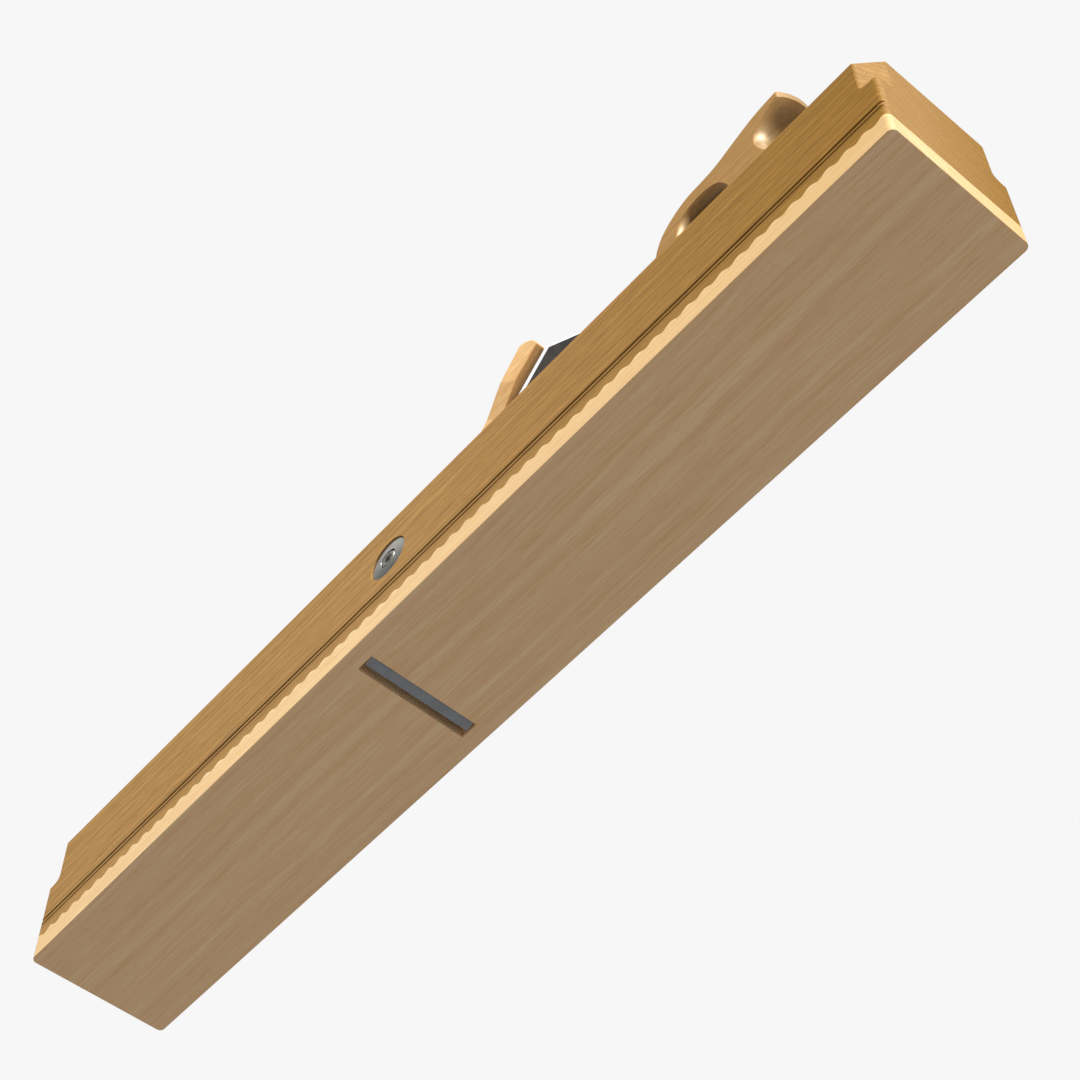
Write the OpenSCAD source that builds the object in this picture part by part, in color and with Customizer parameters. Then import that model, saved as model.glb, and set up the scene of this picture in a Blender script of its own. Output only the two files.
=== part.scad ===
// Wooden jointer plane: beech stock on a hornbeam sole, closed tote, wedged double iron.
// X runs towards the toe, Y to the left side and Z up. The origin is the middle of the sole face.

/* [Stock] */
// Length of the plane from heel to toe
stock_len = 600; // [560:5:700]
// Width across the stock
stock_w = 80; // [76:1:90]
// Height from the sole face to the top of the stock
stock_h = 80; // [76:1:90]
// Radius of the upright corners
corner_r = 3; // [2:0.5:5]
// Radius of the long top edges, of those across the ends and of those on the corner chamfers
top_r = 2.5; // [1:0.5:4]
end_r = 1.5; // [0.5:0.5:3]
chamfer_r = 2.5; // [0.5:0.5:4]
// Width of the chamfer that takes off the upper part of each upright corner
chamfer_w = 10; // [6:0.5:13]
// Height at which the corner chamfers stop
chamfer_stop = 50; // [44:1:60]
// Radius of the cove in which a corner chamfer stops
cove_r = 4; // [2:0.5:6]

/* [Side bead] */
// Height of the deep groove above the sole face
groove_z = 26.6; // [22:0.2:32]
// Width and depth of the deep groove
groove_w = 2.2; // [1:0.1:3]
groove_d = 1.4; // [0.6:0.1:2]
// Width of the bead between the deep groove and the fine one
bead_w = 3.4; // [2.6:0.1:5]
// Width and depth of the fine groove
fine_w = 1.6; // [0.6:0.1:2]
fine_d = 0.8; // [0.4:0.1:1.2]

/* [Sole] */
// Mean thickness of the sole
sole_t = 14.1; // [10:0.1:18]
// Length of one wave of the glued joint
wave_pitch = 10.25; // [8:0.25:14]
// Height of that wave from trough to crest
wave_height = 2.1; // [1:0.1:3]
// Small bevel round the edge of the sole face
sole_bevel = 0.6; // [0.2:0.1:1.2]

/* [Throat] */
// Angle of the bed that carries the iron
bed_angle = 45; // [43:1:47]
// Distance from the middle of the sole to the rear edge of the mouth
mouth_x = 36; // [20:1:50]
// Length of the mouth along the sole
mouth_len = 10.1; // [8.5:0.1:12]
// Width of the mouth and of the throat
throat_w = 62; // [61:0.5:63]
// Height up to which the front of the throat is upright
wear_h = 16; // [10:1:22]
// Slope of the front of the throat above that
throat_slope = 66; // [60:1:80]

/* [Iron] */
// Width of the plane iron at its cutting edge, and at its top, to which it tapers
iron_w = 60; // [56:0.5:60]
iron_top_w = 58; // [55:0.5:60]
// Thickness of the plane iron
iron_t = 4; // [3:0.1:4.5]
// Length of the plane iron along its front face
iron_len = 192; // [180:1:200]
// Angle of the ground bevel
bevel_angle = 30; // [25:1:35]
// Width and length of the clips on the two upper corners of the iron
clip_w = 11; // [6:1:14]
clip_len = 16; // [8:1:18]
// Thickness of the cap iron
cap_t = 3.2; // [2.5:0.1:3.6]
// Length of the cap iron
cap_len = 106; // [98:1:112]
// Distance from the cutting edge back to the front of the cap iron
cap_setback = 1; // [0.5:0.5:2]
// Distance along the bed from the mouth to the screw that holds the cap iron
screw_s = 62; // [58:1:66]
// Diameter of the screw that holds the cap iron
screw_d = 8; // [6:0.5:8]
// Diameter and height of its head
screw_head_d = 18; // [15:0.5:18]
screw_head_h = 4.4; // [3:0.1:4.6]

/* [Wedge] */
// Angle between the two faces of the wedge
wedge_angle = 4.9; // [4:0.1:5.4]
// Distance along the bed to the lower end of the wedge
wedge_foot_s = 21; // [19:0.5:24]
// Distance along the bed to the top of the wedge
wedge_top_s = 173; // [165:1:178]
// Width of the wedge between the cheeks
wedge_w = 60.4; // [59:0.1:60.8]
// Width of the head that stands above the stock
wedge_head_w = 66; // [64:0.5:72]
// Length of that head
wedge_head_len = 22; // [18:1:26]
// Length over which the head narrows to the cheeks
wedge_neck_len = 20; // [12:1:22]
// Rise of the rounded top end
wedge_crown = 2.5; // [1:0.5:5]
// Width of the slot between the two prongs
prong_gap = 22; // [20:1:26]

/* [Cross rod] */
// Distance of the cross rod from the middle of the sole, and its height
rod_x = 17.1; // [15:0.1:19]
rod_z = 48.3; // [47:0.1:50]
// Diameter of the cross rod
rod_d = 12; // [10:0.5:13]
// Diameter of the washer let into each side
washer_d = 24.2; // [20:0.1:26]
// Thickness of that washer at its middle, and the rise of its domed face
washer_t = 4.3; // [3.9:0.1:4.6]
washer_dome = 0.6; // [0.4:0.1:1.4]
// Diameter of the bolt's head
bolt_head_d = 9.6; // [9:0.1:11]
// Diameter of the bolt's shank
bolt_d = 6; // [5:0.5:7]
// Length of the bolt's shank
bolt_len = 16; // [12:1:20]
// Width across the flats of the bolt's hexagon socket
socket_af = 5; // [4:0.5:5.5]

/* [Tote] */
// Thickness of the tote
tote_t = 28; // [24:1:34]
// Height of the tote above the stock, at its horn
tote_h = 107.5; // [96:0.5:116]
// Distance from the heel to the corners of the horn's tip
tote_back = 68; // [60:1:90]
// How far the rear of the horn swells beyond its corners
horn_swell = 5; // [2:0.5:7]
// How much is rounded off the edges that the hand holds
grip_r = 6; // [3:0.5:7]
// How much is rounded off the other edges
edge_r = 1.6; // [1:0.2:2.4]
// Thickness, length and depth of the tenon under the tote
tenon_t = 20; // [16:1:22]
tenon_len = 84; // [70:1:90]
tenon_depth = 16; // [10:1:22]

/* [Strike button] */
// Diameter of the button's head
button_d = 28; // [22:1:34]
// Height of the button above the stock
button_h = 7; // [4:0.5:10]
// Diameter and length of the button's shank
button_shank_d = 16; // [12:1:20]
button_shank_len = 26; // [18:1:34]
// Distance from the toe to the button
button_toe = 85; // [60:1:110]

/* [Fits] */
// Clearance between flat faces that slide
slide_fit = 0.1; // [0.05:0.05:0.2]
// Clearance round a pin or screw
pin_fit = 0.05; // [0.05:0.01:0.1]
// Clearance between the wedge and the cross rod
rod_fit = 0.2; // [0.1:0.1:0.3]

/* [Hidden] */
$fn = 64;
over = 1;

// Wavy joint between stock and sole
wave_steps = 10;
wave_n = floor(stock_len / wave_pitch * wave_steps / 2);
function wave_z(x) = sole_t + wave_height / 2 * cos(360 * x / wave_pitch);
wave_line = concat([[-stock_len / 2, wave_z(stock_len / 2)]],
                   [for (i = [-wave_n : wave_n]) let (x = i * wave_pitch / wave_steps) [x, wave_z(x)]],
                   [[stock_len / 2, wave_z(stock_len / 2)]]);

// Heights above the bed of the pieces that lie on it
iron_n0 = slide_fit;
iron_n1 = iron_n0 + iron_t;
cap_n0 = iron_n1 + slide_fit;
cap_n1 = cap_n0 + cap_t;
wedge_n0 = cap_n1 + slide_fit;

// Distance along the bed of the cutting edge, whose small flat ends in the sole face
edge_flat = 0.05;
edge_s = -(iron_n1 - edge_flat) / tan(bed_angle);
iron_top_s = edge_s + iron_len;
function iron_w_at(s) = iron_w + (iron_top_w - iron_w) * (s - edge_s) / (iron_top_s - clip_len - edge_s);
slot_w = screw_d + 1.5;
slot_below = 14;
slot_above = 48;
keyhole_d = screw_head_d + 1.5;

// Cap iron: a plate with a hump near the cutting edge and a threaded boss
cap_side = 0.5;
cap_s0 = edge_s + cap_setback;
cap_top_s = cap_s0 + cap_len;
cap_hump_len = 18;
cap_hump_h = 1.1;
cap_relief = 0.5;
cap_nose = 0.6;
cap_clip = 12;
cap_boss_d = screw_d + 6;
cap_boss_h = 3;

// Groove in the bed for the head of the cap screw
bed_groove_w = screw_head_d + 3;
bed_groove_d = screw_head_h + 1.6;
bed_groove_s = screw_s - 2;
driver_slot_w = 2;
driver_slot_d = 1.8;
head_edge = 0.6;

// The cross rod seen from the bed
rod_s = (mouth_x - rod_x) * cos(bed_angle) + rod_z * sin(bed_angle);
rod_n = rod_z * cos(bed_angle) - (mouth_x - rod_x) * sin(bed_angle);
// Front face of the wedge, which clears the rod by rod_fit
function wedge_n1(s) =
    rod_n - (rod_d / 2 + rod_fit) / cos(wedge_angle) + (s - rod_s) * tan(wedge_angle);
prong_end_s = screw_s + 5;
neck_s = wedge_top_s - wedge_head_len;
shoulder_s = neck_s - wedge_neck_len;

// Bolts and washers in the sides
washer_recess = 0.05;
washer_edge = 0.2;
washer_gap = 0.2;
washer_bore_d = washer_d + 2 * washer_gap;
washer_bore_depth = washer_recess + washer_t;
bolt_head_h = 3;
bolt_head_gap = 0.4;
bolt_recess = 0.25;
bolt_edge = 0.6;
socket_depth = 2.4;
rod_len = stock_w - 2 * washer_bore_depth - 2 * slide_fit;
rod_edge = 0.5;

// Strike button
button_x = stock_len / 2 - button_toe;
button_dome = 4;

// Outline of the tote, seen from its left side, in runs that meet at corners. Each point gives
// the distance forwards of the horn's tip, the height above the stock, what is rounded off its
// edge, the swell across the thickness, and how many times wider than deep the rounding is.
horn_end = 5.2;
tip_r = 0.5 * edge_r;
base_r = 0.3;
grip_full = 2.1;
tote_top = [
    [0, tote_h, tip_r, horn_swell, 1],
    [7, tote_h - 0.2, edge_r, 0.5 * horn_swell, 1],
    [16.5, tote_h - 2.1, edge_r, 0, 1],
    [26, tote_h - 5.7, edge_r, 0, 1],
    [35, tote_h - 9.6, edge_r, 0, 1],
    [43, tote_h - 12.9, edge_r, 0, 1],
    [52.5, tote_h - 14.5, edge_r, 0, 1],
    [60, tote_h - 15, edge_r, 0, 1],
    [67, tote_h - 17.2, edge_r, 0, 1],
    [74.8, tote_h - 22, edge_r, 0, 1],
    [81.5, tote_h - 28.9, edge_r, 0, 1],
    [86.1, tote_h - 38.8, edge_r, 0, 1],
    [88.5, tote_h - 53.5, edge_r, 0, 1],
    [88.2, 36, edge_r, 0, 1],
    [87, 20, edge_r, 0, 1],
    [89, 8, edge_r, 0, 1],
    [94, 0, base_r, 0, 1]
];
tote_palm = [
    [-20, 0, base_r, 0, 1],
    [-16, 7, edge_r, 0, 1.3],
    [-13, 18, 0.6 * grip_r, 0, 1.7],
    [-9, 32, 0.8 * grip_r, 0, grip_full],
    [-3, 47, grip_r, 0, grip_full],
    [4.3, 61, grip_r, 0, grip_full],
    [10, tote_h - 34.5, grip_r, 0, grip_full],
    [12, tote_h - 25.5, grip_r, 0, grip_full],
    [9.6, tote_h - 17.7, 0.95 * grip_r, 0.1 * horn_swell, 1.6],
    [4.6, tote_h - 11.3, 0.7 * grip_r, 0.5 * horn_swell, 1.3],
    [0, tote_h - horn_end, tip_r, horn_swell, 1]
];
// Finger hole, in the same terms
tote_hole = [
    [44.3, tote_h - 39.7, grip_r, 0, grip_full],
    [49.2, tote_h - 33.5, grip_r, 0, grip_full],
    [56.8, tote_h - 30.3, 0.65 * grip_r, 0, grip_full],
    [64.8, tote_h - 32.4, 0.5 * grip_r, 0, grip_full],
    [69.1, tote_h - 42.3, 0.5 * grip_r, 0, grip_full],
    [69.5, 50, 0.5 * grip_r, 0, grip_full],
    [67.5, 36, 0.5 * grip_r, 0, grip_full],
    [62, 22, 0.5 * grip_r, 0, grip_full],
    [51, 12.5, 0.5 * grip_r, 0, grip_full],
    [39, 11, 0.5 * grip_r, 0, grip_full],
    [31, 17, 0.7 * grip_r, 0, grip_full],
    [30.5, 28, grip_r, 0, grip_full],
    [34.5, 42, grip_r, 0, grip_full],
    [39.5, 54, grip_r, 0, grip_full]
];
tote_x = tote_back - stock_len / 2;
tenon_x = tote_x + 38;
mortise_gap = 0.5;
curve_steps = 4;
round_steps = 3;
swell_steps = 2;

// Smooth curve through four neighbouring points, from the second to the third
function on_curve(a, b, c, d, t) =
    0.5 * (2 * b + (c - a) * t + (2 * a - 5 * b + 4 * c - d) * t * t + (3 * b - a - 3 * c + d) * t * t * t);
function open_run(p) =
    let (n = len(p))
    concat([for (i = [0 : n - 2], k = [0 : curve_steps - 1])
        on_curve(p[max(i - 1, 0)], p[i], p[i + 1], p[min(i + 2, n - 1)], k / curve_steps)], [p[n - 1]]);
function closed_run(p) =
    let (n = len(p))
    [for (i = [0 : n - 1], k = [0 : curve_steps - 1])
        on_curve(p[(i + n - 1) % n], p[i], p[(i + 1) % n], p[(i + 2) % n], k / curve_steps)];

// Direction into a clockwise outline at each point, lengthened where two sides meet at a corner
function unit(v) = v / max(norm(v), 0.0001);
function right_of(a, b) = let (u = unit([b[0] - a[0], b[1] - a[1]])) [u[1], -u[0]];
function inward(p, i) =
    let (n = len(p), u = right_of(p[(i + n - 1) % n], p[i]), v = right_of(p[i], p[(i + 1) % n]),
         w = unit(u + v))
    w / max(w * u, 0.6);

// Layers through the thickness, each a share of the flat middle zone and a share of the rounding
upper_layers = concat([for (k = [0 : swell_steps - 1]) [k / swell_steps, 0]],
                      [for (k = [0 : round_steps]) [1, k / round_steps]]);
lower_layers = [for (k = [len(upper_layers) - 1 : -1 : 1]) [-upper_layers[k][0], upper_layers[k][1]]];
tote_layers = concat(lower_layers, upper_layers);
function ring(p, share, t, way) =
    [for (i = [0 : len(p) - 1])
        let (half = tote_t / 2, w = min(p[i][2] * p[i][4], half - 0.1), full = 2 * atan(p[i][2] / w),
             r = w / sin(full), y = share * (half - w) + sign(share) * r * sin(t * full),
             q = inward(p, i) * way * r * (1 - cos(t * full)), swell = p[i][3] * (1 - pow(y / half, 2)))
        [tote_x + p[i][0] + q[0] - swell, y, stock_h + p[i][1] + q[1]]];

// Closed skin over rings of points, each ring with as many points as the others
module skin(rings) {
    n = len(rings[0]);
    m = len(rings);
    sides = [for (j = [0 : m - 2], i = [0 : n - 1], first = [true, false])
        let (a = j * n + i, b = j * n + (i + 1) % n)
        first ? [a, b + n, b] : [a, a + n, b + n]];
    near = [for (i = [0 : n - 1]) i];
    far = [for (i = [n - 1 : -1 : 0]) (m - 1) * n + i];
    polyhedron([for (r = rings, p = r) p], concat(sides, [near, far]), convexity = 6);
}

// Outline in X and Z carried through a width along Y, and outline in Y and Z along X
module across(w) rotate([90, 0, 0]) linear_extrude(w, center = true) children();
module along(l) rotate([90, 0, 90]) linear_extrude(l, center = true) children();
module both_sides() for (side = [0, 1]) mirror([0, side, 0]) children();
module both_ends() for (end = [0, 1]) mirror([end, 0, 0]) children();
// From the bed: X runs up the bed from the mouth, and Z stands off it
module on_bed() translate([mouth_x, 0, 0]) rotate([0, bed_angle, 0]) rotate([0, 0, 180]) children();
// From the left side at the cross rod: Z runs out of the side
module at_rod() translate([rod_x, stock_w / 2, rod_z]) rotate([-90, 0, 0]) children();

// From each corner chamfer: X runs out of it and Z up
module at_chamfers() both_sides() both_ends()
    translate([(stock_len - chamfer_w) / 2, (stock_w - chamfer_w) / 2, 0]) rotate([0, 0, 45]) children();

// What a rounded edge takes off a corner at the origin
module round_off(r) difference() {
    translate([-r, -r]) square(r + over);
    translate([-r, -r]) circle(r);
}

module upright_corners()
    both_sides() both_ends() translate([stock_len / 2, stock_w / 2, -over])
        linear_extrude(stock_h + 2 * over) round_off(corner_r);

module corner_chamfers()
    at_chamfers() translate([0, 0, chamfer_stop])
        across(3 * chamfer_w) difference() {
            square([chamfer_w, stock_h - chamfer_stop + over]);
            difference() {
                square(cove_r);
                translate([cove_r, cove_r]) circle(cove_r);
            }
        }

module top_edges() {
    both_sides() translate([0, stock_w / 2, stock_h]) along(stock_len + 2 * over) round_off(top_r);
    both_ends() translate([stock_len / 2, 0, stock_h]) across(stock_w + 2 * over) round_off(end_r);
    at_chamfers() translate([0, 0, stock_h]) across(3 * chamfer_w) round_off(chamfer_r);
}

// A groove with sloping walls, w wide and d deep, at height z in each side
module side_groove(z, w, d) {
    mouth = w / 2 * (1 + over / d);
    both_sides() along(stock_len + 2 * over)
        polygon([[stock_w / 2 - d, z], [stock_w / 2 + over, z - mouth], [stock_w / 2 + over, z + mouth]]);
}

module throat() across(throat_w) polygon([
    [mouth_x + over / tan(bed_angle), -over],
    [mouth_x + mouth_len, -over],
    [mouth_x + mouth_len, wear_h],
    [mouth_x + mouth_len + (stock_h + over - wear_h) / tan(throat_slope), stock_h + over],
    [mouth_x - (stock_h + over) / tan(bed_angle), stock_h + over]
]);

module bed_groove() on_bed() translate([bed_groove_s, 0, -bed_groove_d]) {
    cylinder(d = bed_groove_w, h = bed_groove_d + over);
    translate([0, -bed_groove_w / 2, 0]) cube([2 * stock_h, bed_groove_w, bed_groove_d + over]);
}

module rod_bores() {
    translate([rod_x, stock_w / 2, rod_z]) rotate([90, 0, 0])
        cylinder(d = rod_d + 2 * pin_fit, h = stock_w);
    both_sides() at_rod() translate([0, 0, -washer_bore_depth])
        cylinder(d = washer_bore_d, h = washer_bore_depth + over);
}

module stock_body() color("#b98f52") difference() {
    across(stock_w) polygon(concat(wave_line, [[stock_len / 2, stock_h], [-stock_len / 2, stock_h]]));
    upright_corners();
    corner_chamfers();
    top_edges();
    side_groove(groove_z, groove_w, groove_d);
    side_groove(groove_z - bead_w, fine_w, fine_d);
    throat();
    bed_groove();
    rod_bores();
    translate([tenon_x - tenon_len / 2, -tenon_t / 2, stock_h - tenon_depth - mortise_gap])
        cube([tenon_len, tenon_t, tenon_depth + mortise_gap + over]);
    translate([button_x, 0, stock_h - button_shank_len - mortise_gap])
        cylinder(d = button_shank_d, h = button_shank_len + mortise_gap + over);
}

module sole() color("#f0cf9a") difference() {
    across(stock_w) polygon(concat(wave_line, [[stock_len / 2, 0], [-stock_len / 2, 0]]));
    upright_corners();
    both_sides() translate([0, stock_w / 2, 0]) along(stock_len + 2 * over) edge_bevel();
    both_ends() translate([stock_len / 2, 0, 0]) across(stock_w + 2 * over) edge_bevel();
    throat();
}

module edge_bevel() polygon([[-sole_bevel - over, -over], [over, -over], [over, sole_bevel + over]]);

// Rings that run a little past both faces of the tote
function long_rings(p, way) =
    let (r = [for (layer = tote_layers) ring(p, layer[0], layer[1], way)], n = len(r) - 1)
    concat([[for (q = r[0]) q - [0, over, 0]]], r, [[for (q = r[n]) q + [0, over, 0]]]);

module tote() color("#b48a4c") difference() {
    union() {
        intersection() {
            skin(long_rings(concat(open_run(tote_top), open_run(tote_palm)), 1));
            translate([-stock_len / 2, -tote_t / 2, stock_h - over])
                cube([stock_len / 2, tote_t, tote_h + 2 * over]);
        }
        translate([tenon_x - tenon_len / 2, -tenon_t / 2, stock_h - tenon_depth])
            cube([tenon_len, tenon_t, tenon_depth + edge_r]);
    }
    skin(long_rings(closed_run(tote_hole), -1));
}

module strike_button() color("#e6c48c") translate([button_x, 0, stock_h]) {
    translate([0, 0, -button_shank_len]) cylinder(d = button_shank_d, h = button_shank_len);
    intersection() {
        cylinder(d = button_d, h = button_h);
        let (r = (pow(button_d / 2, 2) + pow(button_dome, 2)) / (2 * button_dome))
            translate([0, 0, button_h - r]) sphere(r, $fn = 96);
    }
}

// Plate seen from the front of the bed, from s0 up to s1, its sides a margin inside those of the
// tapered iron and its two upper corners clipped
module clipped_plate(s0, s1, margin, clip_across, clip_along)
    let (w0 = iron_w_at(s0) / 2 - margin, w1 = iron_w_at(s1 - clip_along) / 2 - margin)
        polygon([[s0, -w0], [s1 - clip_along, -w1], [s1, clip_across - w1],
                 [s1, w1 - clip_across], [s1 - clip_along, w1], [s0, w0]]);

module plane_iron() color("#4c5258") on_bed() difference() {
    translate([0, 0, iron_n0]) linear_extrude(iron_t) difference() {
        clipped_plate(edge_s, iron_top_s, 0, clip_w, clip_len);
        translate([screw_s - slot_below, -slot_w / 2]) square([slot_below + slot_above, slot_w]);
        translate([screw_s - slot_below, 0]) circle(d = slot_w);
        translate([screw_s + slot_above, 0]) circle(d = keyhole_d);
    }
    across(iron_w + 2 * over) translate([edge_s, iron_n1 - edge_flat]) polygon([
        [-over, over * tan(bevel_angle)],
        [(iron_t + over) / tan(bevel_angle), -iron_t - over],
        [-over, -iron_t - over]
    ]);
}

module cap_iron() color("#5a6066") on_bed() difference() {
    union() {
        intersection() {
            across(iron_w) polygon([
                [cap_s0, cap_n0],
                [cap_s0, cap_n0 + cap_nose],
                [cap_s0 + 5, cap_n1 + cap_hump_h],
                [cap_s0 + 10, cap_n1 + cap_hump_h],
                [cap_s0 + cap_hump_len, cap_n1],
                [cap_top_s, cap_n1],
                [cap_top_s, cap_n0],
                [cap_s0 + cap_hump_len, cap_n0],
                [cap_s0 + cap_hump_len - 4, cap_n0 + cap_relief],
                [cap_s0 + 3, cap_n0 + cap_relief]
            ]);
            linear_extrude(2 * cap_n1)
                clipped_plate(cap_s0 - over, cap_top_s, cap_side, cap_clip, cap_clip);
        }
        translate([screw_s, 0, cap_n1 - cap_t / 2]) cylinder(d = cap_boss_d, h = cap_t / 2 + cap_boss_h);
    }
    translate([screw_s, 0, 0]) cylinder(d = screw_d, h = cap_n1 + cap_boss_h + over);
}

module cap_screw() color("#8a8f94") on_bed() translate([screw_s, 0, 0]) difference() {
    let (r = screw_d / 2 - pin_fit, top = cap_n1 + cap_boss_h, seat = iron_n0 - pin_fit,
         foot = seat - screw_head_h, head_r = screw_head_d / 2)
        rotate_extrude() polygon([
            [0, foot], [head_r - head_edge, foot], [head_r, foot + head_edge], [head_r, seat], [r, seat],
            [r, top - head_edge], [r - head_edge, top], [0, top]
        ]);
    translate([-screw_head_d / 2 - over, -driver_slot_w / 2, iron_n0 - pin_fit - screw_head_h - over])
        cube([screw_head_d + 2 * over, driver_slot_w, driver_slot_d + over]);
}

module wedge() color("#e2b87c") on_bed() difference() {
    intersection() {
        let (n1 = wedge_n1(wedge_top_s), half = (n1 - wedge_n0) / 2,
             r = (half * half + wedge_crown * wedge_crown) / (2 * wedge_crown), a = asin(half / r))
            across(2 * wedge_head_w) polygon(concat(
                [[wedge_foot_s, wedge_n1(wedge_foot_s)], [wedge_foot_s, wedge_n0]],
                [for (k = [-8 : 8]) [wedge_top_s + wedge_crown - r + r * cos(a * k / 8),
                                     wedge_n0 + half + r * sin(a * k / 8)]]
            ));
        let (foot = wedge_foot_s - over, top = wedge_top_s + 2 * wedge_crown)
            linear_extrude(stock_h) polygon([
                [foot, -wedge_w / 2], [shoulder_s, -wedge_w / 2],
                [neck_s, -wedge_head_w / 2], [top, -wedge_head_w / 2],
                [top, wedge_head_w / 2], [neck_s, wedge_head_w / 2],
                [shoulder_s, wedge_w / 2], [foot, wedge_w / 2]
            ]);
    }
    linear_extrude(stock_h) {
        translate([prong_end_s, 0]) circle(d = prong_gap);
        translate([0, -prong_gap / 2]) square([prong_end_s, prong_gap]);
    }
}

module cross_rod() color("#8f9498") translate([rod_x, 0, rod_z]) rotate([-90, 0, 0]) difference() {
    let (r = rod_d / 2, h = rod_len / 2) rotate_extrude() polygon([
        [0, -h], [r - rod_edge, -h], [r, rod_edge - h], [r, h - rod_edge], [r - rod_edge, h], [0, h]
    ]);
    for (side = [0, 1]) mirror([0, 0, side]) translate([0, 0, rod_len / 2 - bolt_len])
        cylinder(d = bolt_d, h = bolt_len + over);
}

// Washer in the left side, its outer edge eased
module side_washer() at_rod() translate([0, 0, -washer_bore_depth]) difference() {
    let (r = washer_d / 2, ball = (r * r + washer_dome * washer_dome) / (2 * washer_dome))
        rotate_extrude() polygon(concat(
            [[0, 0], [r, 0], [r, washer_t - washer_dome - washer_edge]],
            [for (k = [6 : -1 : 0]) let (q = (r - washer_edge) * k / 6)
                [q, washer_t - ball + sqrt(ball * ball - q * q)]]
        ));
    translate([0, 0, -over]) cylinder(d = bolt_d + 2 * pin_fit, h = washer_t + 2 * over);
    translate([0, 0, washer_bore_depth - bolt_recess - bolt_head_h])
        cylinder(d = bolt_head_d + 2 * bolt_head_gap, h = bolt_head_h + over);
}

// Bolt in the left side: its head in the washer, its shank in the rod
module side_bolt() at_rod() translate([0, 0, -bolt_recess]) difference() {
    let (r = bolt_head_d / 2, shank = bolt_d / 2 - pin_fit) rotate_extrude() polygon([
        [0, -bolt_head_h - bolt_len], [shank, -bolt_head_h - bolt_len], [shank, -bolt_head_h],
        [r, -bolt_head_h], [r, -bolt_edge], [r - bolt_edge, 0], [0, 0]
    ]);
    translate([0, 0, -socket_depth]) cylinder(d = socket_af / cos(30), h = socket_depth + over, $fn = 6);
}

module left_washer() color("#a9adb0") side_washer();
module right_washer() color("#a9adb0") mirror([0, 1, 0]) side_washer();
module left_bolt() color("#9a9ea2") side_bolt();
module right_bolt() color("#9a9ea2") mirror([0, 1, 0]) side_bolt();

stock_body();
sole();
tote();
strike_button();
plane_iron();
cap_iron();
cap_screw();
wedge();
cross_rod();
left_washer();
right_washer();
left_bolt();
right_bolt();
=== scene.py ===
# %% [markdown]
# A wooden jointer plane, lying in the air as it is shown in a catalogue: seen from under its left side.
# The construction comes from a CAD model, which is loaded first and never moved. This file dresses it:
# it eases the arrises that a plane maker would ease, carves the tote with a finer skin, grows the wavy
# sole with Geometry Nodes, and gives each wood and each steel its own finish.

# %% Load the frame
import math

import bmesh
import bpy
from mathutils import Matrix, Vector


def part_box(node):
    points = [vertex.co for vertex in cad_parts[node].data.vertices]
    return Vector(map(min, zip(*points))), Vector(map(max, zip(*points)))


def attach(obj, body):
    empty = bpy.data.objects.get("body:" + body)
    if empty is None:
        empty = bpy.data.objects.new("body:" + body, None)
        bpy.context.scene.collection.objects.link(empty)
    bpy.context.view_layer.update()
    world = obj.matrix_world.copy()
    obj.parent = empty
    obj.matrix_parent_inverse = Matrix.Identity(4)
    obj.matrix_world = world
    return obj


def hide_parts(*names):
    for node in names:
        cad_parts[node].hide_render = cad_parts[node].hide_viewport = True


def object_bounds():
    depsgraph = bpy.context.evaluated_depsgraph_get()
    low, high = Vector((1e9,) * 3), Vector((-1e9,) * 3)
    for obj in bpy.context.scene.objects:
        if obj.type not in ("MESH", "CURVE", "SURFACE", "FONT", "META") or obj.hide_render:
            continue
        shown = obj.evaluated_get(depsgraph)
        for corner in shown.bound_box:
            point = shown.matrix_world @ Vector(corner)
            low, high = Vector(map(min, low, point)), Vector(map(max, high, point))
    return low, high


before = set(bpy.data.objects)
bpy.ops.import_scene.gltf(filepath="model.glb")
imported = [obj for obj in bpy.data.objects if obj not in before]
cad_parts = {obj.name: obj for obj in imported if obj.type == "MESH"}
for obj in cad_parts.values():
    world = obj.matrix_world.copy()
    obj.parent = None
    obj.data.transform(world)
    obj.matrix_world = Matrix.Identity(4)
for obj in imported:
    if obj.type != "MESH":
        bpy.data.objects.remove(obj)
cad_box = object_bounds()
MM = 0.001
size = cad_box[1] - cad_box[0]
print("CAD box in mm:", [round(value / MM, 1) for value in size])

# %% [markdown]
# The camera stands low, behind the heel, and looks up at the sole. Its place and its lens were worked
# out from the straight edges of the stock, so the picture has the true perspective. A camera looks
# along its own -Z with +Y up, so two directions are enough to turn it.

# %% Camera
CAMERA_AT = Vector((-490.83, 390.82, -808.69)) * MM
LOOKS_ALONG = Vector((0.43298, -0.37963, 0.81756))
UPWARDS = Vector((-0.61964, 0.53336, 0.57582))
LENS_MM = 75.376

camera_data = bpy.data.cameras.new("camera")
camera_data.lens = LENS_MM
camera = bpy.data.objects.new("camera", camera_data)
bpy.context.scene.collection.objects.link(camera)
turned = Matrix((LOOKS_ALONG.cross(UPWARDS), UPWARDS, -LOOKS_ALONG)).transposed()
camera.matrix_world = Matrix.Translation(CAMERA_AT) @ turned.to_4x4()
bpy.context.scene.camera = camera
bpy.context.scene.view_settings.view_transform = "Standard"
away = (CAMERA_AT - sum(cad_box, Vector()) / 2).length
print("camera is", round(away, 3), "m from the middle of the plane")

# %% [markdown]
# Colours are written as sRGB hex values, the way a paint chart gives them, and one function turns them
# to the linear values that shaders add and multiply. One more function adds any node, sets what it is
# told to set and links what it is told to link, so a material reads as a short list of its nodes. The
# kinds of node that are needed most have short functions of their own.


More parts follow.
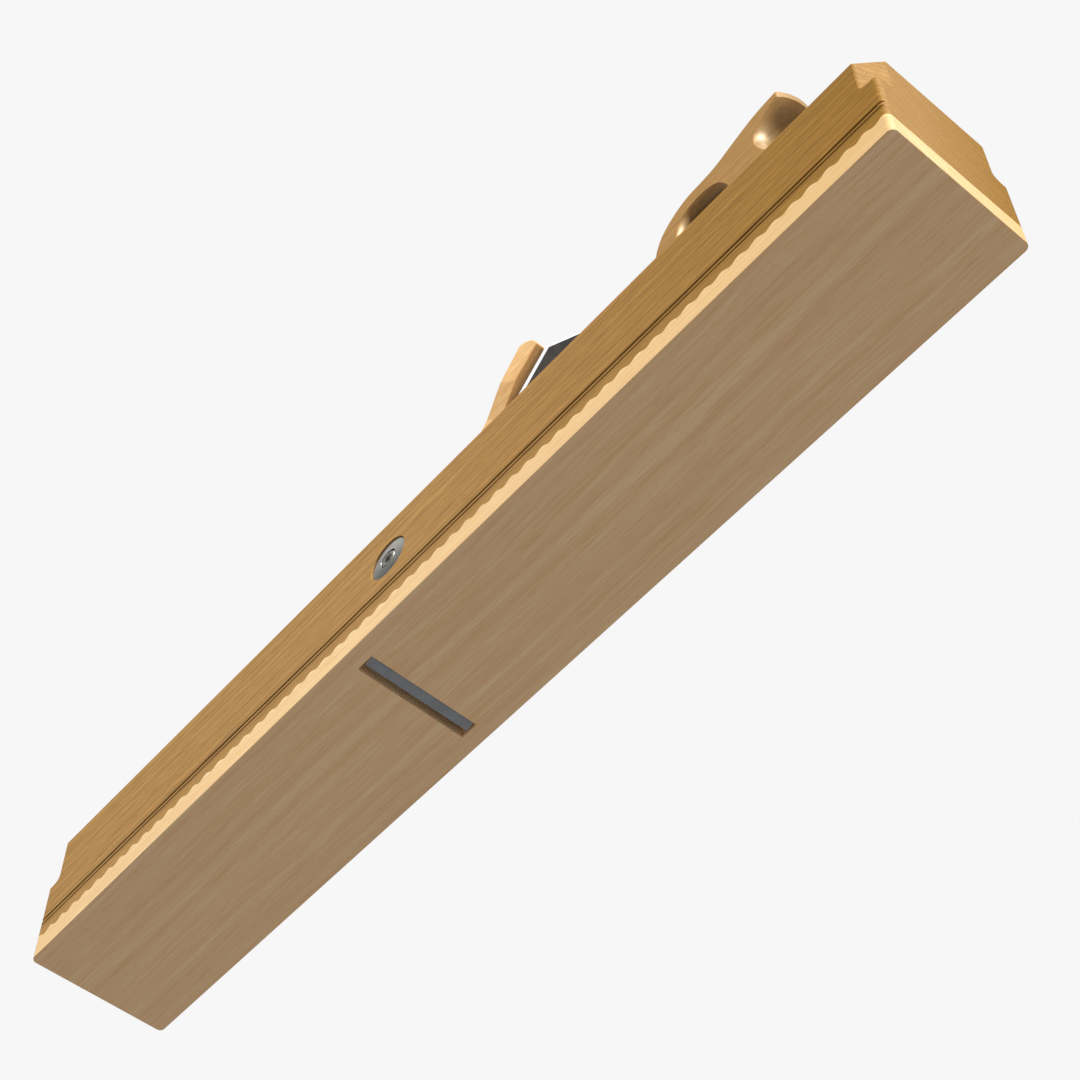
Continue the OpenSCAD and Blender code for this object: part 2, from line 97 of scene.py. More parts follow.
# %% Colours and nodes
def linear(hex_colour):
    """Linear red, green, blue and a full alpha of an sRGB hex colour."""
    channels = [int(hex_colour[i : i + 2], 16) / 255 for i in (1, 3, 5)]
    return tuple(c / 12.92 if c <= 0.04045 else ((c + 0.055) / 1.055) ** 2.4 for c in channels) + (1.0,)


def add(tree, kind, settings=None, **sockets):
    """Adds a node. settings are its own properties; sockets are values, or outputs to link from."""
    node = tree.nodes.new(kind)
    for name, value in (settings or {}).items():
        setattr(node, name, value)
    for name, value in sockets.items():
        found = node.inputs[int(name[1:])] if name[0] == "_" else node.inputs[name.replace("_", " ")]
        if isinstance(value, bpy.types.NodeSocket):
            tree.links.new(value, found)
        else:
            found.default_value = value
    return node


def calc(tree, operation, *values, kind="ShaderNodeMath", **settings):
    """First output of a Math node, or of a Vector Math node where kind says so."""
    numbered = {"_" + str(i): value for i, value in enumerate(values)}
    return add(tree, kind, {"operation": operation, **settings}, **numbered).outputs[0]


def ramp(tree, value, start, end, top=1.0, bottom=0.0):
    """Bottom where value is at start, top where it is at end, and even steps between them."""
    return add(tree, "ShaderNodeMapRange", Value=value, From_Min=start, From_Max=end, To_Min=bottom,
               To_Max=top).outputs[0]


def mix(tree, share, first, second, blend="MIX"):
    """The first colour where share is 0 and the second, or their product, where it is 1."""
    return add(tree, "ShaderNodeMix", {"data_type": "RGBA", "blend_type": blend}, Factor=share, _6=first,
               _7=second).outputs[2]


def empty_material(name):
    """A material with only its output node, and that node."""
    material = bpy.data.materials.new(name)
    material.use_nodes = True
    material.node_tree.nodes.clear()
    return material, material.node_tree, material.node_tree.nodes.new("ShaderNodeOutputMaterial")


print("a grey of one half in sRGB is", round(linear("#808080")[0], 3), "in linear values")

# %% [markdown]
# The light is a plain soft studio: one lamp high behind the heel on the left, and an even sky that is a
# little cooler and dimmer than the lamp. The lamp's strength and the sky add up to about one on the
# plane's left side, so that a colour shows there about as it is written. The sole faces away from the
# lamp and gets the sky alone. The white that the camera sees behind the plane is only painted: it is
# there for camera rays alone, and puts no light on the wood. Metal mirrors a room of its own: a pale
# floor, dim walls and a white ceiling, because a plain sky would leave a washer without any form.

# %% Lamp and sky
TO_LAMP = Vector((-0.66, 0.41, 0.63))
LAMP_SHARE = 1.53
LAMP_ANGLE = math.radians(7)
SKY_BELOW = linear("#a19ea9")
SKY_ABOVE = linear("#b7b9c2")
SKY_BLEND = 0.5
BACKDROP_WHITE = linear("#f7f7f7")
# What polished metal mirrors, from straight below to straight above: pale floor, dim room, white ceiling
MIRRORED = [(0.5, "#969aa0"), (0.64, "#63676c"), (0.87, "#63676c"), (0.935, "#f7f7f7")]

lamp_data = bpy.data.lights.new("studio_lamp", "SUN")
lamp_data.energy = LAMP_SHARE * math.pi
lamp_data.angle = LAMP_ANGLE
lamp = bpy.data.objects.new("studio_lamp", lamp_data)
lamp.rotation_mode = "QUATERNION"
lamp.rotation_quaternion = TO_LAMP.to_track_quat("Z", "Y")
bpy.context.scene.collection.objects.link(lamp)

world = bpy.data.worlds.new("studio_sky")
world.use_nodes = True
bpy.context.scene.world = world
sky = world.node_tree
sky.nodes.clear()
direction = add(sky, "ShaderNodeTexCoord").outputs["Generated"]
height = add(sky, "ShaderNodeSeparateXYZ", Vector=direction).outputs["Z"]
upness = add(sky, "ShaderNodeMapRange", {"interpolation_type": "SMOOTHSTEP"}, Value=height,
             From_Min=-SKY_BLEND, From_Max=SKY_BLEND)
glow = mix(sky, upness.outputs["Result"], SKY_BELOW, SKY_ABOVE)
mirrored = add(sky, "ShaderNodeValToRGB", Fac=ramp(sky, height, -1.0, 1.0))
stops = mirrored.color_ramp.elements
while len(stops) < len(MIRRORED):
    stops.new(1.0)
for stop, (position, colour) in zip(stops, MIRRORED):
    stop.position = position
    stop.color = linear(colour)
path = add(sky, "ShaderNodeLightPath").outputs
shiny = calc(sky, "MAXIMUM", path["Is Glossy Ray"], path["Is Transmission Ray"])
lit = mix(sky, shiny, glow, mirrored.outputs["Color"])
seen = mix(sky, path["Is Camera Ray"], lit, BACKDROP_WHITE)
background = add(sky, "ShaderNodeBackground", Color=seen)
add(sky, "ShaderNodeOutputWorld", Surface=background.outputs["Background"])
print("sky:", len(sky.nodes), "nodes, and a lamp of", round(lamp_data.energy, 2))

# %% [markdown]
# The floor is a wide pale sheet just under the sole. The main picture is taken from below it, so it is
# a one way floor: from underneath it is clear, and it keeps no light from the sole. From above it is
# pale and holds the plane's soft shadow.

# %% Floor
FLOOR_HALF = 20.0
FLOOR_DROP = 0.4 * MM
FLOOR_GLOW = 0.5
FLOOR_CATCH = linear("#8b8b8b")

floor_mesh = bpy.data.meshes.new("floor")
corners = [(sx * FLOOR_HALF, sy * FLOOR_HALF, cad_box[0].z - FLOOR_DROP) for sx, sy in
           ((-1, -1), (1, -1), (1, 1), (-1, 1))]
floor_mesh.from_pydata(corners, [], [(0, 1, 2, 3)])
floor = bpy.data.objects.new("floor", floor_mesh)
bpy.context.scene.collection.objects.link(floor)
floor.visible_diffuse = False
floor.visible_glossy = False
floor.visible_transmission = False
floor.visible_shadow = False
paint, tree, output = empty_material("pale studio floor")
side = add(tree, "ShaderNodeNewGeometry")
catch = add(tree, "ShaderNodeBsdfDiffuse", Color=FLOOR_CATCH)
pale = add(tree, "ShaderNodeEmission", Color=BACKDROP_WHITE, Strength=FLOOR_GLOW)
both = add(tree, "ShaderNodeAddShader", _0=catch.outputs[0], _1=pale.outputs[0])
clear = add(tree, "ShaderNodeBsdfTransparent")
one_way = add(tree, "ShaderNodeMixShader", _0=side.outputs["Backfacing"], _1=both.outputs[0],
              _2=clear.outputs[0])
tree.links.new(one_way.outputs[0], output.inputs["Surface"])
floor_mesh.materials.append(paint)
print("floor lies at z =", round(corners[0][2] / MM, 2), "mm")

# %% [markdown]
# Wood is a bundle of fibres that grew in rings round a pith. A pattern painted on the surface shows its
# seams at every corner, so the pattern here fills space: rings round a line that runs lengthwise,
# somewhere outside the piece, and fibres drawn out along that line. A side then shows streaks and an
# end shows arcs, and they meet at the corner as they do in real timber. Fibres are about a twentieth
# of a millimetre wide, far too fine for the picture, so they are drawn near a millimetre wide. No tree
# grows quite straight, so rings and fibres wander a little, together and slowly.

# %% Grain
# Each pair of lengths in mm is the size of a pattern along the grain and across it.
WANDER_MM = (240, 30)
WANDER_BY = 9 * MM
TINT_MM = (160, 8)
TINT_PLACE = (3.1, 7.7, 1.3)
TINT_BAND = (0.42, 0.72)
DASH_MM = (3.2, 0.7)
DASH_PLACE = (5.3, 2.9, 8.8)
DASH_BAND = (0.66, 0.76)
ACROSS_GRAIN = (0.0, 1.0, 1.0)


def stretched(tree, place, lengths_mm, start=(0.0, 0.0, 0.0)):
    """Coordinates for a pattern of this size along and across the grain."""
    along, across = (1 / (mm * MM) for mm in lengths_mm)
    return add(tree, "ShaderNodeMapping", Vector=place, Scale=(along, across, across),
               Location=start).outputs[0]


def noise(tree, place, detail, roughness=0.5, scale=1.0):
    """Soft noise between nought and one, with about scale bumps to one unit of place."""
    return add(tree, "ShaderNodeTexNoise", Vector=place, Scale=scale, Detail=detail,
               Roughness=roughness).outputs["Fac"]


def rings_round(tree, place, centre, keep, pitch_mm, detail, roughness=0.5):
    """Rings round an axis through centre. keep has a 0 for the direction of the axis."""
    off = calc(tree, "SUBTRACT", place, centre, kind="ShaderNodeVectorMath")
    flat = calc(tree, "MULTIPLY", off, keep, kind="ShaderNodeVectorMath")
    radius = add(tree, "ShaderNodeVectorMath", {"operation": "LENGTH"}, _0=flat).outputs["Value"]
    ring_at = calc(tree, "DIVIDE", radius, pitch_mm * MM)
    return add(tree, "ShaderNodeTexNoise", {"noise_dimensions": "1D"}, W=ring_at, Scale=1.0,
               Detail=detail, Roughness=roughness).outputs["Fac"]


def grain(tree, place, light, dark, rare, ring_mm, pith_mm, fibre_mm, contrast, fleck):
    """Colour of a wood, and its fibres. contrast is that of rings and fibres, and the share of rare."""
    drift = add(tree, "ShaderNodeTexNoise", Vector=stretched(tree, place, WANDER_MM), Scale=1.0, Detail=4.0)
    centred = calc(tree, "SUBTRACT", drift.outputs["Color"], (0.5, 0.5, 0.5), kind="ShaderNodeVectorMath")
    wandered = calc(tree, "MULTIPLY_ADD", centred, (WANDER_BY,) * 3, place, kind="ShaderNodeVectorMath")
    pith = (0.0, pith_mm[0] * MM, pith_mm[1] * MM)
    rings = rings_round(tree, wandered, pith, ACROSS_GRAIN, ring_mm, detail=4.0, roughness=0.7)
    fibres = noise(tree, stretched(tree, wandered, fibre_mm), detail=3.0, roughness=0.55)
    tint = noise(tree, stretched(tree, wandered, TINT_MM, TINT_PLACE), detail=2.0)
    dashes = noise(tree, stretched(tree, wandered, DASH_MM, DASH_PLACE), detail=1.0)

    of_rings, of_fibres, of_rare = contrast
    ring_part = calc(tree, "MULTIPLY_ADD", rings, of_rings, 0.5 - 0.5 * of_rings)
    both = calc(tree, "MULTIPLY_ADD", fibres, of_fibres, ring_part)
    shade = calc(tree, "SUBTRACT", both, 0.5 * of_fibres, use_clamp=True)
    body = mix(tree, shade, linear(dark), linear(light))
    tinted = mix(tree, ramp(tree, tint, *TINT_BAND, of_rare), body, linear(rare))
    return mix(tree, ramp(tree, dashes, *DASH_BAND, fleck), tinted, linear(dark)), fibres


print("grain wanders by up to", WANDER_BY / MM / 2, "mm over lengths of", WANDER_MM[0], "mm")

# %% [markdown]
# Shade is painted into the colour of the wood in three places. The sides are darkened towards the heel,
# and the heel towards its right: painted shade. The grooves, which lie in a band of height on the sides
# and are cut a little deeper than their face, are darkened as painted shade. The palm side and the finger
# hole of the tote are darkened as painted shade, by a number that its mesh carries. Each of them
# multiplies the colour of the wood.

# %% Painted shade
MIDDLE_TO_HEEL = (0.0, -300 * MM)
LEFT_TO_RIGHT = (20 * MM, -40 * MM)
SIDE_FACE = (38.9 * MM, 39.9 * MM)
HEEL_FACE = (-299.5 * MM, -299.8 * MM)
SUNK_IN_SIDE = (39.9 * MM, 39.2 * MM)
GROOVE_ENDS = 296 * MM


def traces(tree, place, heel_shade, groove_shade, grip_shade):
    """The shares of painted shade at a place, each with the colour that it multiplies by."""
    spot = add(tree, "ShaderNodeSeparateXYZ", Vector=place).outputs
    off_middle = calc(tree, "ABSOLUTE", spot["Y"])
    shares = []
    if heel_shade:
        # Painted shade: the sides darken towards the heel, and the heel darkens towards its right.
        near_heel = ramp(tree, spot["X"], *MIDDLE_TO_HEEL)
        near_right = ramp(tree, spot["Y"], *LEFT_TO_RIGHT)
        shares.append((ramp(tree, off_middle, *SIDE_FACE, near_heel), heel_shade))
        shares.append((ramp(tree, spot["X"], *HEEL_FACE, near_right), heel_shade))
    # Painted shade in the grooves, which lie in a band of height on the sides.
    if groove_shade:
        colour, low_mm, high_mm = groove_shade
        in_band = calc(tree, "COMPARE", spot["Z"], (low_mm + high_mm) / 2 * MM, (high_mm - low_mm) / 2 * MM)
        off_ends = calc(tree, "COMPARE", spot["X"], 0.0, GROOVE_ENDS)
        along_side = calc(tree, "MULTIPLY", in_band, off_ends)
        shares.append((ramp(tree, off_middle, *SUNK_IN_SIDE, along_side), colour))
    # Painted shade on the palm side and in the finger hole of the tote, by a number from its mesh.
    if grip_shade:
        shares.append((add(tree, "ShaderNodeAttribute", {"attribute_name": "grip_shade"}).outputs["Fac"], grip_shade))
    return shares


print("dirt lies in the grooves up to", GROOVE_ENDS / MM, "mm from the middle")

# %% [markdown]
# Oil gives all the woods a sheen, and the colour of that sheen is painted warm: the tint of the
# reflections stands in for a warmer lamp than the white one that lights them. A hand polishes the
# rounded edges of the tote, while its sawn flats stay dull: dull_flats says how far from the middle they
# begin, and how rough and glossy they are. The stock and the tote are cut from the same red beech.

# %% Woods
# Painted warm tint of the wood's reflections, standing in for a warm lamp.
WARM_HIGHLIGHT_TINT = linear("#ffdfa6")
OIL_IOR = 1.45
FIBRE_STRENGTH = 0.35
FIBRE_RELIEF = 0.05 * MM
SHEEN_SPREAD = 0.06
FLAT_BLEND_MM = 0.8
RED_BEECH = {"light": "#c5985a", "dark": "#9a7645", "rare": "#ab8149", "ring_mm": 2.2}


def wood(name, roughness, gloss, heel_shade=None, groove_shade=None, grip_shade=None, dull_flats=None, **drawn):
    """An oiled wood with its grain along X, drawn as grain is told."""
    material, tree, output = empty_material(name)
    place = add(tree, "ShaderNodeTexCoord").outputs["Object"]
    colour, fibres = grain(tree, place, **drawn)
    for share, tint in traces(tree, place, heel_shade, groove_shade, grip_shade):
        colour = mix(tree, share, colour, linear(tint), "MULTIPLY")
    relief = add(tree, "ShaderNodeBump", Strength=FIBRE_STRENGTH, Distance=FIBRE_RELIEF, Height=fibres)
    polish = ramp(tree, fibres, 0.0, 1.0, roughness + SHEEN_SPREAD, roughness - SHEEN_SPREAD)
    surface = add(tree, "ShaderNodeBsdfPrincipled", Base_Color=colour, Roughness=polish, IOR=OIL_IOR,
                  Specular_IOR_Level=gloss, Specular_Tint=WARM_HIGHLIGHT_TINT, Normal=relief.outputs[0])
    if dull_flats:
        start_mm, flat_roughness, flat_gloss = dull_flats
        dull = add(tree, "ShaderNodeBsdfPrincipled", Base_Color=colour, Roughness=flat_roughness,
                   IOR=OIL_IOR, Specular_IOR_Level=flat_gloss, Normal=relief.outputs[0])
        spot = add(tree, "ShaderNodeSeparateXYZ", Vector=place)
        off_middle = calc(tree, "ABSOLUTE", spot.outputs["Y"])
        on_flat = ramp(tree, off_middle, (start_mm - FLAT_BLEND_MM) * MM, start_mm * MM)
        surface = add(tree, "ShaderNodeMixShader", _0=on_flat, _1=surface.outputs[0], _2=dull.outputs[0])
    tree.links.new(surface.outputs[0], output.inputs["Surface"])
    return material


# The colour given for the heel of the stock is painted shade towards the heel.
beech = wood("oiled red beech", **RED_BEECH, pith_mm=(-34, 118), fibre_mm=(16, 0.5),
             contrast=(2.0, 2.6, 0.3), fleck=0.8, roughness=0.6, gloss=0.06, heel_shade="#dfd5a0",
             # The colour given for the grooves is painted shade in them.
             groove_shade=("#6c6354", 21, 29))
# The colour given for the grip of the tote is painted shade in its palm side and finger hole.
tote_beech = wood("oiled beech of the tote", **RED_BEECH, pith_mm=(-160, 60), fibre_mm=(14, 0.5),
                  contrast=(1.0, 2.0, 0.2), fleck=0.5, roughness=0.42, gloss=0.9, grip_shade="#a5b4c2",
                  dull_flats=(14, 0.6, 0.06))
# The colour given for the heel of the sole is painted shade towards the heel.
hornbeam = wood("planed and oiled hornbeam", light="#ffe0a6", dark="#eec386", rare="#efc28e", ring_mm=3.0,
                pith_mm=(150, -260), fibre_mm=(22, 0.6), contrast=(1.8, 2.0, 0.4), fleck=0.7,
                roughness=0.5, gloss=0.1, heel_shade="#f4efe2")
button_hornbeam = wood("turned hornbeam", light="#f8d698", dark="#e9b476", rare="#e3b282", ring_mm=2.4,
                       pith_mm=(70, 160), fibre_mm=(20, 0.7), contrast=(1.2, 1.2, 0.5), fleck=0.1,
                       roughness=0.4, gloss=0.15)
wedge_beech = wood("pale oiled beech", light="#fdd291", dark="#e3ae6c", rare="#e8b06c", ring_mm=2.0,
                   pith_mm=(-140, 90), fibre_mm=(9, 0.8), contrast=(2.0, 2.6, 0.5), fleck=0.6,
                   roughness=0.5, gloss=0.1)
print("woods:", [m.name for m in (beech, tote_beech, hornbeam, button_hornbeam, wedge_beech)])

# %% [markdown]
# The steels differ by how they were made. The flat of an old iron is rolled, hardened and left dark,
# while its bevel and its edges are ground bright on a stone that leaves fine lines. Rod, washers and
# bolts are turned in a lathe, which leaves rings round their axis. Bare turned and ground metal is
# wholly metallic. The dark skin of the iron is a scale with oil on it, so it is metallic only in part.
# The filed edges are bright steel, but their near-white, mostly unmetallic colour is also a painted
# highlight: it stands in for the white glint that they show.


# %% Steel
CLOUDS_PER_METRE = 90.0
CLOUD_BAND = (0.35, 0.7)
TOOL_RELIEF = 0.02 * MM
SMOOTHER = 0.07
ROUGHER = 0.09


def steel(name, bright, dull, line_mm, roughness, lathe=None, metallic=1.0, cut=0.25):
    """A steel with tool lines. line_mm is their size along X, Y and Z, or on a lathe their pitch."""
    material, tree, output = empty_material(name)
    place = add(tree, "ShaderNodeTexCoord").outputs["Object"]
    if lathe:
        lines = rings_round(tree, place, *lathe, line_mm, detail=2.0)
    else:
        drawn = add(tree, "ShaderNodeMapping", Vector=place, Scale=tuple(1 / (mm * MM) for mm in line_mm))
        lines = noise(tree, drawn.outputs[0], detail=2.0)
    cloud = noise(tree, place, detail=4.0, roughness=0.6, scale=CLOUDS_PER_METRE)
    skin = mix(tree, ramp(tree, cloud, *CLOUD_BAND), linear(dull), linear(bright))
    relief = add(tree, "ShaderNodeBump", Strength=cut, Distance=TOOL_RELIEF, Height=lines)
    polish = ramp(tree, lines, 0.0, 1.0, roughness + ROUGHER, roughness - SMOOTHER)
    surface = add(tree, "ShaderNodeBsdfPrincipled", Base_Color=skin, Metallic=metallic, Roughness=polish,
                  Normal=relief.outputs[0])
    tree.links.new(surface.outputs[0], output.inputs["Surface"])
    return material


print("tool lines are", TOOL_RELIEF / MM, "mm deep")

# %% [markdown]
# Rod, washers and bolts have one axis along Y, so the middle of the rod is the centre of their rings. The
# flats and the bevel of the iron have lines along Y, the way it is moved on the stone.

# %% Steels
rod_low, rod_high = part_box("cross_rod")
lathe = (tuple((rod_low + rod_high) / 2), (1.0, 0.0, 1.0))
dark_steel = steel("hardened steel with its dark skin", "#7d8a95", "#606c76", (1.2, 9.0, 1.2), 0.5,
                   metallic=0.35)
ground_steel = steel("stone ground steel", "#a9a9a6", "#9a9996", (0.35, 16.0, 0.35), 0.34, cut=0.8)
# Filed edges: bright steel, and partly a painted highlight for their white glint.
filed_steel_painted_glint = steel("filed bright steel", "#f8f8f7", "#eeefef", (6.0, 0.5, 6.0), 0.85, metallic=0.15)
turned_steel = steel("turned steel", "#a9adb0", "#8d9296", 0.35, 0.34, lathe)
washer_steel = steel("turned and zinc plated steel", "#c4c1b8", "#b1aea5", 1.1, 0.25, lathe, cut=0.1)
bolt_steel = steel("zinc plated bolt steel", "#c4c1b5", "#a9a69a", 1.1, 0.45, lathe, cut=0.1)
steels = (dark_steel, ground_steel, filed_steel_painted_glint, turned_steel, washer_steel, bolt_steel)
print("steels:", [m.name for m in steels])

# %% [markdown]
# A CAD solid has perfectly sharp edges. On a real plane the maker takes each arris off with a stroke of
# a file or glasspaper, and that fine bright line is what makes an edge look made. A copy of the node is
# welded, its coplanar triangles are joined, and a Bevel modifier eases only the edges that are sharp
# and that a hand could reach. Weighted normals then keep the flats flat.

# %% Easing the arrises of a CAD node
WELD = 0.002 * MM
FLAT = math.radians(0.6)
SHARP = math.radians(35)
ARRIS_CUTS = 2
LARGEST_FACE_WINS = 100


def welded(mesh):
    """A new bmesh of a mesh, with its triangles welded and its flats joined."""
    shell = bmesh.new()
    shell.from_mesh(mesh)
    bmesh.ops.remove_doubles(shell, verts=shell.verts, dist=WELD)
    bmesh.ops.dissolve_limit(shell, angle_limit=FLAT, verts=shell.verts, edges=shell.edges)
    return shell


def cad_shell(node):
    """A welded bmesh of a CAD node."""
    return welded(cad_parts[node].data)


def finished(name, shell, materials, arris=0.0, eased=None, pick=None, crease=SHARP):
    """An object from a bmesh: arrises eased where eased(edge) is true, materials set by pick(face)."""
    mesh = bpy.data.meshes.new(name)
    for face in shell.faces:
        face.smooth = True
        face.material_index = pick(face) if pick else 0
    weights = shell.edges.layers.float.new("bevel_weight_edge")
    for edge in shell.edges:
        turn = edge.calc_face_angle(0.0) if len(edge.link_faces) == 2 else 0.0
        edge.smooth = turn < crease
        edge[weights] = 1.0 if turn > SHARP and (eased is None or eased(edge)) else 0.0
    shell.to_mesh(mesh)
    shell.free()
    if "custom_normal" in mesh.attributes:
        mesh.attributes.remove(mesh.attributes["custom_normal"])
    piece = bpy.data.objects.new(name, mesh)
    bpy.context.scene.collection.objects.link(piece)
    for material in materials:
        mesh.materials.append(material)
    if arris:
        bevel = piece.modifiers.new("eased arrises", "BEVEL")
        bevel.limit_method = "WEIGHT"
        bevel.width = arris
        bevel.segments = ARRIS_CUTS
        bevel.use_clamp_overlap = True
    normals = piece.modifiers.new("flat flats", "WEIGHTED_NORMAL")
    normals.keep_sharp = True
    normals.weight = LARGEST_FACE_WINS
    return piece


def dress(piece, body, slot, *nodes):
    """Hangs a finished piece on its body in place of its CAD nodes."""
    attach(piece, body)
    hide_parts(*nodes)
    low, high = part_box(nodes[0])
    print(piece.name, "stands for", nodes, "and its box is", [round(v / MM, 1) for v in high - low], "mm")


print("edges that turn by more than", round(math.degrees(SHARP)), "degrees can be eased")

# %% [markdown]
# The stock keeps its long flat sides, its bead and its stopped chamfers from the CAD. Its arrises are
# eased, but not where it is glued to the sole: there the two woods meet without a gap.

# %% Stock
ARRIS_STOCK = 0.35 * MM
GLUE_TOP = 17.0 * MM


def free_of_glue(edge):
    """True for an edge of the stock that is above the wavy joint."""
    return min(v.co.z for v in edge.verts) > GLUE_TOP


stock = finished("stock_eased", cad_shell("stock_body"), [beech], ARRIS_STOCK, free_of_glue)
dress(stock, "root", "stock_beech", "stock_body")

# %% [markdown]
# The sole is a slab of hornbeam. A cutter mills the same wave into it and into the stock, so that the glue
# holds on a larger face and neither wood can slide along the other. Such a wave follows a rule, the cosine,
# and Geometry Nodes can state the rule once: a long box is cut into thin slices along X, and the top of
# each slice is lifted to the height that the cosine gives there. The box then loses its corners to a
# rounded outline, and its mouth to a cutter that slopes like the bed.

# %% Tree that grows the sole
SOLE = {
    "Length": 600 * MM, "Width": 80 * MM, "Thickness": 14.1 * MM, "Wave Pitch": 10.25 * MM,
    "Wave Height": 2.1 * MM, "Slices Per Wave": 10, "Corner Radius": 3 * MM, "Mouth Start": 36 * MM,
    "Mouth Length": 10.1 * MM, "Mouth Width": 62 * MM,
}
# How far the prism and the cutter reach, and how far the middle of the cutter is lifted
ROOM = 40 * MM
CUTTER_LIFT = 15 * MM


def point(tree, x, y, z):
    """Output of a Combine XYZ node."""
    return add(tree, "ShaderNodeCombineXYZ", X=x, Y=y, Z=z).outputs[0]


def box_mesh(tree, x, y, z, slices):
    """A box round the origin, with its length in so many slices."""
    corners_along = calc(tree, "ADD", slices, 1)
    return add(tree, "GeometryNodeMeshCube", Size=point(tree, x, y, z), Vertices_X=corners_along,
               Vertices_Y=2, Vertices_Z=2).outputs["Mesh"]


sole_tree = bpy.data.node_groups.new("wave jointed sole", "GeometryNodeTree")
for name, value in SOLE.items():
    kind = "NodeSocketInt" if isinstance(value, int) else "NodeSocketFloat"
    sole_tree.interface.new_socket(name, in_out="INPUT", socket_type=kind).default_value = value
sole_tree.interface.new_socket("Sole", in_out="OUTPUT", socket_type="NodeSocketGeometry")
given = sole_tree.nodes.new("NodeGroupInput").outputs

where = add(sole_tree, "GeometryNodeInputPosition")
at = add(sole_tree, "ShaderNodeSeparateXYZ", Vector=where.outputs[0]).outputs

step = calc(sole_tree, "DIVIDE", given["Wave Pitch"], given["Slices Per Wave"])
half_length = calc(sole_tree, "MULTIPLY", given["Length"], 0.5)
half_count = calc(sole_tree, "CEIL", calc(sole_tree, "DIVIDE", half_length, step))
slices = calc(sole_tree, "MULTIPLY", half_count, 2)
slab = box_mesh(sole_tree, calc(sole_tree, "MULTIPLY", slices, step), given["Width"], given["Thickness"],
                slices)
heel_x = calc(sole_tree, "MULTIPLY", half_length, -1)
x = calc(sole_tree, "MINIMUM", calc(sole_tree, "MAXIMUM", at["X"], heel_x), half_length)
turns = calc(sole_tree, "DIVIDE", x, given["Wave Pitch"])
wave = calc(sole_tree, "MULTIPLY", calc(sole_tree, "COSINE", calc(sole_tree, "MULTIPLY", turns, math.tau)),
            calc(sole_tree, "MULTIPLY", given["Wave Height"], 0.5))
top = calc(sole_tree, "ADD", given["Thickness"], wave)
z = calc(sole_tree, "MULTIPLY", top, calc(sole_tree, "GREATER_THAN", at["Z"], 0.0))
waved = add(sole_tree, "GeometryNodeSetPosition", Geometry=slab, Position=point(sole_tree, x, at["Y"], z))
print("sole tree:", len(sole_tree.nodes), "nodes so far")

# %% [markdown]
# A rectangle with rounded corners is filled and drawn out to a prism, and what it shares with the waved
# slab is the sole. The cutter for the mouth is a box whose rear wall is moved to slope like the bed. The
# end of the tree makes real geometry of it all and gives it its wood.

# %% Corners, mouth and material of the sole
CORNER_STEPS = 16
SEAL = 0.001 * MM
outline = add(sole_tree, "GeometryNodeCurvePrimitiveQuadrilateral", Width=given["Length"],
              Height=given["Width"])
rounded = add(sole_tree, "GeometryNodeFilletCurve", {"mode": "POLY"}, Curve=outline.outputs[0],
              Count=CORNER_STEPS, Radius=given["Corner Radius"])
plate = add(sole_tree, "GeometryNodeFillCurve", {"mode": "NGONS"}, Curve=rounded.outputs[0])
lifted = add(sole_tree, "GeometryNodeExtrudeMesh", Mesh=plate.outputs[0], Offset_Scale=ROOM)
underside = add(sole_tree, "GeometryNodeFlipFaces", Mesh=plate.outputs[0])
prism = add(sole_tree, "GeometryNodeJoinGeometry")
for part in (lifted, underside):
    sole_tree.links.new(part.outputs[0], prism.inputs[0])
sealed = add(sole_tree, "GeometryNodeMergeByDistance", Geometry=prism.outputs[0], Distance=SEAL)
lowered = add(sole_tree, "GeometryNodeTransform", Geometry=sealed.outputs[0], Translation=(0, 0, -ROOM / 2))

mouth_end = calc(sole_tree, "ADD", given["Mouth Start"], given["Mouth Length"])
block = box_mesh(sole_tree, ROOM, given["Mouth Width"], ROOM, 1)
cutter_z = calc(sole_tree, "ADD", at["Z"], CUTTER_LIFT)
bed_x = calc(sole_tree, "SUBTRACT", given["Mouth Start"], cutter_z)
in_front = calc(sole_tree, "GREATER_THAN", at["X"], 0.0)
wall_x = calc(sole_tree, "MULTIPLY_ADD", in_front, calc(sole_tree, "SUBTRACT", mouth_end, bed_x), bed_x)
cutter = add(sole_tree, "GeometryNodeSetPosition", Geometry=block,
             Position=point(sole_tree, wall_x, at["Y"], cutter_z))

cornered = add(sole_tree, "GeometryNodeMeshBoolean", {"operation": "INTERSECT", "solver": "EXACT"})
sole_tree.links.new(waved.outputs[0], cornered.inputs["Mesh 2"])
sole_tree.links.new(lowered.outputs[0], cornered.inputs["Mesh 2"])
mouthed = add(sole_tree, "GeometryNodeMeshBoolean", {"operation": "DIFFERENCE", "solver": "EXACT"},
              Mesh_1=cornered.outputs[0], Mesh_2=cutter.outputs[0])
real = add(sole_tree, "GeometryNodeRealizeInstances", Geometry=mouthed.outputs[0])
oiled = add(sole_tree, "GeometryNodeSetMaterial", Geometry=real.outputs[0], Material=hornbeam)
sole_end = sole_tree.nodes.new("NodeGroupOutput")
sole_tree.links.new(oiled.outputs[0], sole_end.inputs[0])
print("sole tree:", len(sole_tree.nodes), "nodes in all")

# %% [markdown]
# The tree is run on an empty mesh and the result is kept as a plain one. Its outline on the sole face
# gets the small bevel that keeps the edge from splintering when the plane is drawn over a board.


